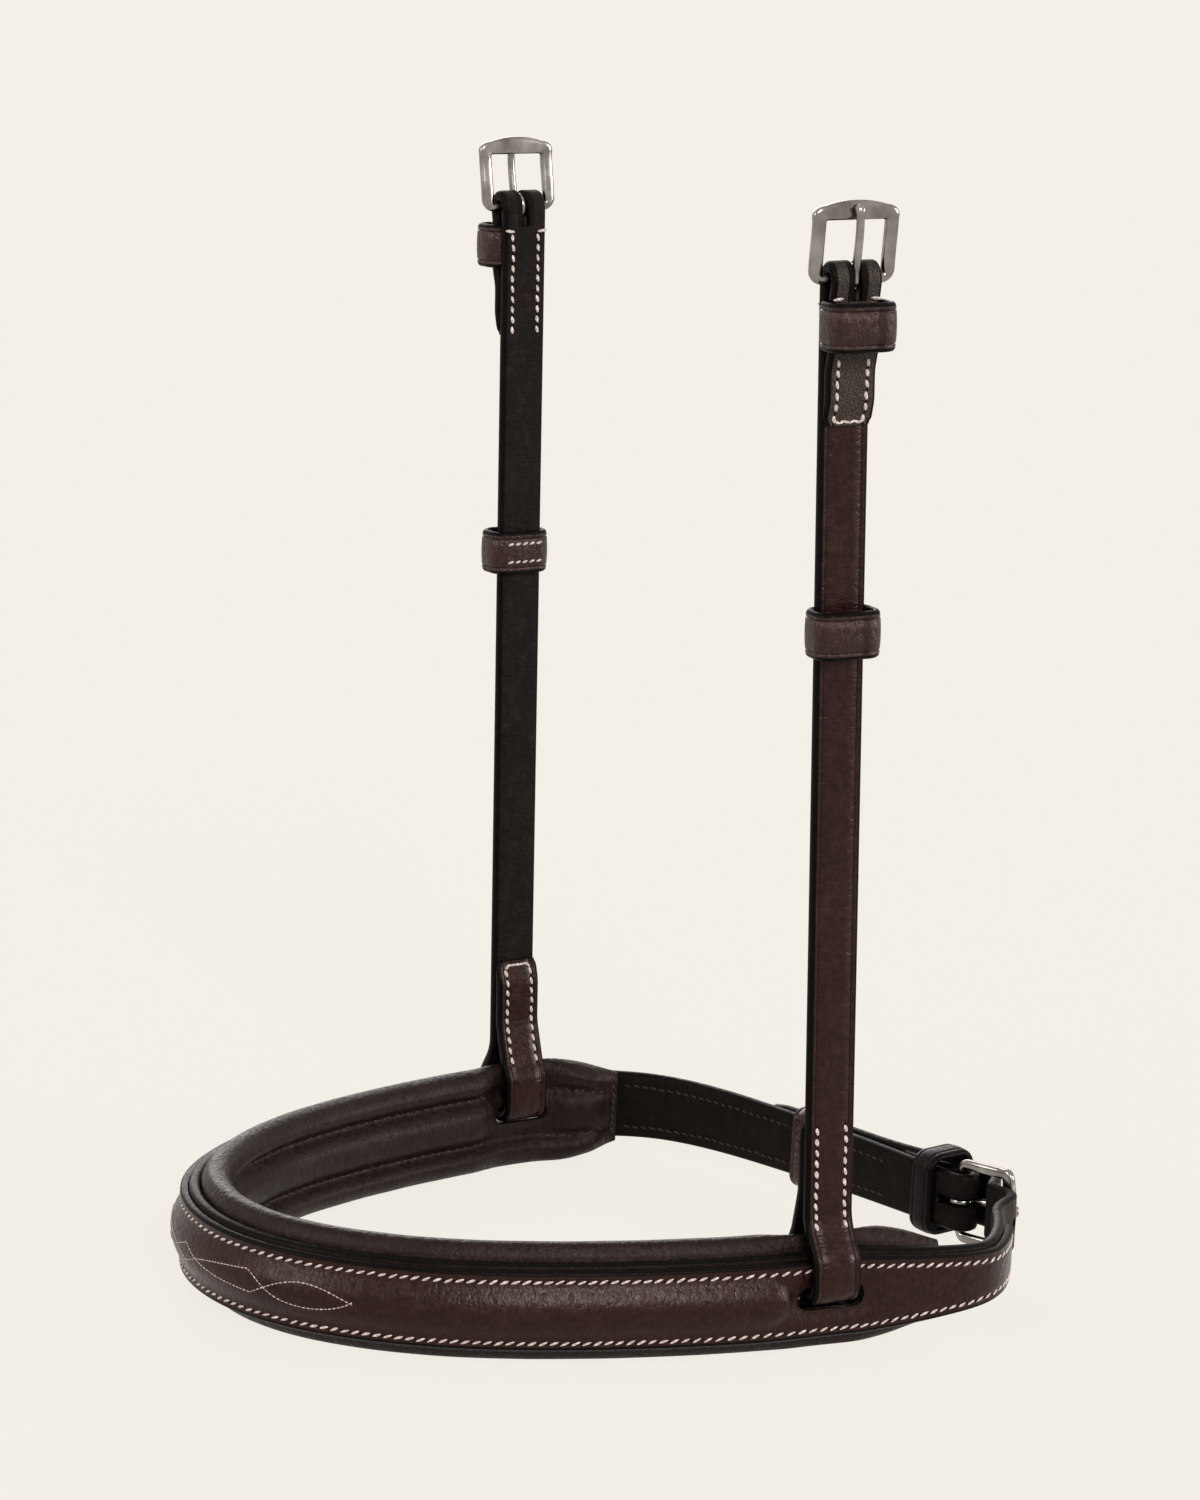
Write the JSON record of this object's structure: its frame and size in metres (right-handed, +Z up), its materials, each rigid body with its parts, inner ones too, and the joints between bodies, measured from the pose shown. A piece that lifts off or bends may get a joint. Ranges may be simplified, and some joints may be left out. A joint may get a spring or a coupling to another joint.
{
  "type": "hunter noseband",
  "caption": "Padded, raised leather noseband that closes with a buckle under the chin and hangs from two buckled side straps.",
  "frame": {"origin": "middle of the whole part's plan, at the height of the pad's lowest edge", "axes": "+Z up along the hangers, -Y towards the front of the nose, +Y towards the chin closure, +X to the horse's near (left) side"},
  "size_m": [0.1962, 0.22, 0.2912],
  "materials": {
    "havana_leather": "satin bridle leather, havana brown",
    "strap_leather": "dark flesh side with black dressed edges",
    "black_leather": "black satin leather",
    "pad_leather": "soft matt calf leather, brown",
    "pad_foam": "soft cellular padding",
    "filler_felt": "pressed felt cord",
    "stainless": "polished stainless steel"
  },
  "bodies": {
    "band": {"main_strap": "strap_leather", "raised_face": "havana_leather", "face_filler": "filler_felt", "pad_lining": "pad_leather", "upper_roll_foam": "pad_foam", "lower_roll_foam": "pad_foam", "centre_foam": "pad_foam", "chin_fixed_keeper": "black_leather"},
    "chin_runner": {"chin_runner": "havana_leather"},
    "chin_buckle": {"chin_buckle_frame": "stainless"},
    "chin_tongue": {"chin_buckle_tongue": "stainless"},
    "near_hanger": {"near_hanger_strap": "havana_leather", "near_fixed_keeper": "havana_leather"},
    "near_runner": {"near_runner": "havana_leather"},
    "near_buckle": {"near_buckle_frame": "stainless"},
    "near_tongue": {"near_buckle_tongue": "stainless"},
    "off_hanger": {"off_hanger_strap": "havana_leather", "off_fixed_keeper": "havana_leather"},
    "off_runner": {"off_runner": "havana_leather"},
    "off_buckle": {"off_buckle_frame": "stainless"},
    "off_tongue": {"off_buckle_tongue": "stainless"}
  },
  "joints": [
    {"name": "chin_runner_slide", "type": "slide", "parent": "band", "child": "chin_runner", "axis": [-0.9573, -0.2893, 0], "range_m": [-0.012, 0.006]},
    {"name": "chin_buckle_turn", "type": "hinge", "parent": "band", "child": "chin_buckle", "pos_m": [0.03147, 0.10031, 0.015], "axis": [0, 0, 1], "range_deg": [-1.5, 1.5]},
    {"name": "chin_tongue_turn", "type": "hinge", "parent": "chin_buckle", "child": "chin_tongue", "pos_m": [0.03147, 0.10031, 0.015], "axis": [0, 0, 1], "range_deg": [-0.7, 2]},
    {"name": "near_hanger_swing", "type": "hinge", "parent": "band", "child": "near_hanger", "pos_m": [0.08379, 0.02838, 0.015], "axis": [0.058, 0.9978, 0.0332], "range_deg": [-4, 4]},
    {"name": "near_runner_slide", "type": "slide", "parent": "near_hanger", "child": "near_runner", "axis": [-0.0019, -0.0331, 0.9995], "range_m": [-0.11, 0.06]},
    {"name": "near_buckle_turn", "type": "hinge", "parent": "near_hanger", "child": "near_buckle", "pos_m": [0.08767, 0.01969, 0.26986], "axis": [0.058, 0.9978, 0.0332], "range_deg": [-20, 50]},
    {"name": "near_tongue_turn", "type": "hinge", "parent": "near_buckle", "child": "near_tongue", "pos_m": [0.08767, 0.01969, 0.26986], "axis": [0.058, 0.9978, 0.0332], "range_deg": [0, 35]},
    {"name": "off_hanger_swing", "type": "hinge", "parent": "band", "child": "off_hanger", "pos_m": [-0.08358, 0.01949, 0.015], "axis": [0.079, -0.9967, -0.0192], "range_deg": [-4, 4]},
    {"name": "off_runner_slide", "type": "slide", "parent": "off_hanger", "child": "off_runner", "axis": [0.0015, -0.0191, 0.9998], "range_m": [-0.11, 0.06]},
    {"name": "off_buckle_turn", "type": "hinge", "parent": "off_hanger", "child": "off_buckle", "pos_m": [-0.08755, 0.01421, 0.27245], "axis": [0.079, -0.9967, -0.0192], "range_deg": [-20, 50]},
    {"name": "off_tongue_turn", "type": "hinge", "parent": "off_buckle", "child": "off_tongue", "pos_m": [-0.08755, 0.01421, 0.27245], "axis": [0.079, -0.9967, -0.0192], "range_deg": [0, 35]}
  ]
}
